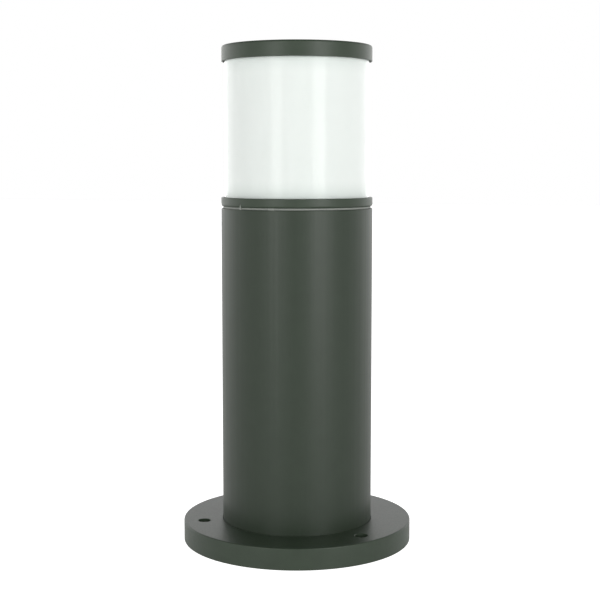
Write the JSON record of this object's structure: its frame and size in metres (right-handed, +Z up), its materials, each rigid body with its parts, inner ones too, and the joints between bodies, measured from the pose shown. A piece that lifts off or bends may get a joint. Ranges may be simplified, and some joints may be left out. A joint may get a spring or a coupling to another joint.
{
  "type": "bollard light",
  "caption": "Low round bollard light: flanged cast base, extruded post, opal lens tube and flat cast cap, with a screw-in lamp inside.",
  "frame": {"origin": "centre of the base plate's lower face, on the ground", "axes": "+Z up along the post's axis; +Y from the axis to the first of the three fixing holes"},
  "size_m": [0.139, 0.139, 0.2992],
  "materials": {
    "paint": "satin powder coat, greenish anthracite",
    "black_rubber": "matt",
    "pale_silicone": "matt, pale grey",
    "stainless": "satin stainless steel",
    "zinc_steel": "zinc plated",
    "white_nylon": "natural nylon",
    "brass": "plain",
    "live_pvc": "brown wire insulation",
    "neutral_pvc": "blue wire insulation",
    "earth_pvc": "green and yellow wire insulation",
    "porcelain": "glazed porcelain",
    "opal_plastic": "glossy opal white, light comes through",
    "nickel": "nickel plated",
    "black_glass": "glossy",
    "lamp_plastic": "satin white",
    "lamp_opal": "frosted white",
    "board_white": "white solder mask",
    "phosphor": "yellow phosphor"
  },
  "bodies": {
    "post": {"base_flange": "paint", "base_seal": "black_rubber", "post_tube": "paint", "flange_screws": "stainless", "cable_grommet": "black_rubber", "gear_tray": "zinc_steel", "gear_tray_screws": "zinc_steel", "cord_clamp": "white_nylon", "cord_clamp_screws": "zinc_steel", "terminal_block": "white_nylon", "terminal_clamps": "brass", "terminal_screws": "zinc_steel", "terminal_block_screws": "zinc_steel", "wire_live": "live_pvc", "wire_neutral": "neutral_pvc", "wire_earth": "earth_pvc", "earth_lug": "zinc_steel", "earth_screw": "brass", "lamp_carrier": "paint", "carrier_gasket": "pale_silicone", "carrier_screws": "stainless", "tie_rods": "stainless", "tie_rod_nuts": "stainless", "lampholder_bracket": "zinc_steel", "bracket_screws": "zinc_steel", "lampholder_body": "porcelain", "lampholder_shell": "brass", "lampholder_contact": "brass", "lampholder_screws": "zinc_steel", "lower_lens_seal": "black_rubber"},
    "diffuser": {"diffuser": "opal_plastic"},
    "cap": {"upper_lens_seal": "black_rubber", "top_cap": "paint", "cap_screws": "stainless", "cap_screw_seals": "black_rubber"},
    "lamp": {"lamp_cap": "nickel", "lamp_insulator": "black_glass", "lamp_contact": "brass", "lamp_housing": "lamp_plastic", "lamp_board": "board_white", "lamp_leds": "phosphor", "lamp_globe": "lamp_opal"}
  },
  "joints": [
    {"name": "diffuser_lift", "type": "slide", "parent": "post", "child": "diffuser", "axis": [0, 0, 1], "range_m": [0, 0.1]},
    {"name": "cap_lift", "type": "slide", "parent": "diffuser", "child": "cap", "axis": [0, 0, 1], "range_m": [0, 0.06]},
    {"name": "lamp_unscrew", "type": "slide", "parent": "post", "child": "lamp", "axis": [0, 0, 1], "range_m": [0, 0.026]}
  ]
}
